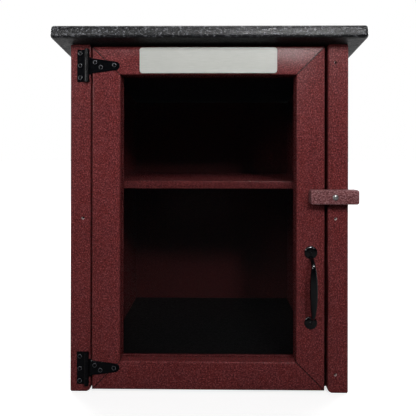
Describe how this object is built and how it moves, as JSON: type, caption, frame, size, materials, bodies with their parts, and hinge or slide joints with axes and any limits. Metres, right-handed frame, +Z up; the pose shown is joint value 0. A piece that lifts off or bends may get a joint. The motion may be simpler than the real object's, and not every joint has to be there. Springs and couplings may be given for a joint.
{
  "type": "street book exchange box",
  "caption": "Cabinet of recycled plastic boards with a sloping roof, a glazed side-hinged door, a shelf, a pull handle and a turn button.",
  "frame": {"origin": "middle of the bounding box, on the plane that the box stands on", "axes": "+Z up, the door faces -Y, the hinges are on the -X side"},
  "size_m": [0.5454, 0.4571, 0.6417],
  "materials": {
    "maroon_board": "recycled plastic board, maroon, finely speckled",
    "black_board": "recycled plastic board, black, with a coarse grain on the cut edges",
    "clear_pane": "clear acrylic sheet",
    "pale_plate": "pale, bare, satin",
    "black_steel": "satin black",
    "black_enamel": "gloss black",
    "bright_steel": "bright screw steel"
  },
  "bodies": {
    "box": {"roof_board": "black_board", "left_side_wall": "maroon_board", "right_side_wall": "maroon_board", "back_wall": "maroon_board", "floor_panel": "black_board", "shelf": "maroon_board", "left_front_strip": "maroon_board", "right_front_strip": "maroon_board", "left_strip_screw_lower": "bright_steel", "left_strip_screw_middle": "bright_steel", "left_strip_screw_upper": "bright_steel", "right_strip_screw_lower": "bright_steel", "right_strip_screw_middle": "bright_steel", "right_strip_screw_upper": "bright_steel", "left_shelf_screw_front": "bright_steel", "left_shelf_screw_back": "bright_steel", "right_shelf_screw_front": "bright_steel", "right_shelf_screw_back": "bright_steel", "left_roof_screw_front": "black_steel", "left_roof_screw_middle": "black_steel", "left_roof_screw_back": "black_steel", "right_roof_screw_front": "black_steel", "right_roof_screw_middle": "black_steel", "right_roof_screw_back": "black_steel", "upper_hinge_leaf": "black_steel", "lower_hinge_leaf": "black_steel", "upper_hinge_pin": "black_steel", "lower_hinge_pin": "black_steel", "upper_leaf_screw_lower": "black_steel", "upper_leaf_screw_middle": "black_steel", "upper_leaf_screw_upper": "black_steel", "lower_leaf_screw_lower": "black_steel", "lower_leaf_screw_middle": "black_steel", "lower_leaf_screw_upper": "black_steel", "turn_button_screw": "bright_steel"},
    "door": {"door_hinge_stile": "maroon_board", "door_top_rail": "maroon_board", "door_latch_stile": "maroon_board", "door_bottom_rail": "maroon_board", "window_pane": "clear_pane", "pane_retainer_left": "maroon_board", "pane_retainer_top": "maroon_board", "pane_retainer_right": "maroon_board", "pane_retainer_bottom": "maroon_board", "name_plate": "pale_plate", "upper_hinge_strap": "black_steel", "lower_hinge_strap": "black_steel", "upper_strap_screw_root": "black_steel", "upper_strap_screw_middle": "black_steel", "upper_strap_screw_tip": "black_steel", "lower_strap_screw_root": "black_steel", "lower_strap_screw_middle": "black_steel", "lower_strap_screw_tip": "black_steel", "pull_handle": "black_enamel", "handle_screw_lower": "black_steel", "handle_screw_upper": "black_steel"},
    "button": {"turn_button": "maroon_board"}
  },
  "joints": [
    {"name": "door_swing", "type": "hinge", "parent": "box", "child": "door", "pos_m": [-0.2152, -0.2063, 0.3108], "axis": [0, 0, -1], "range_deg": [0, 165]},
    {"name": "button_turn", "type": "hinge", "parent": "box", "child": "button", "pos_m": [0.2171, -0.2116, 0.3478], "axis": [0, 1, 0], "continuous": true}
  ]
}
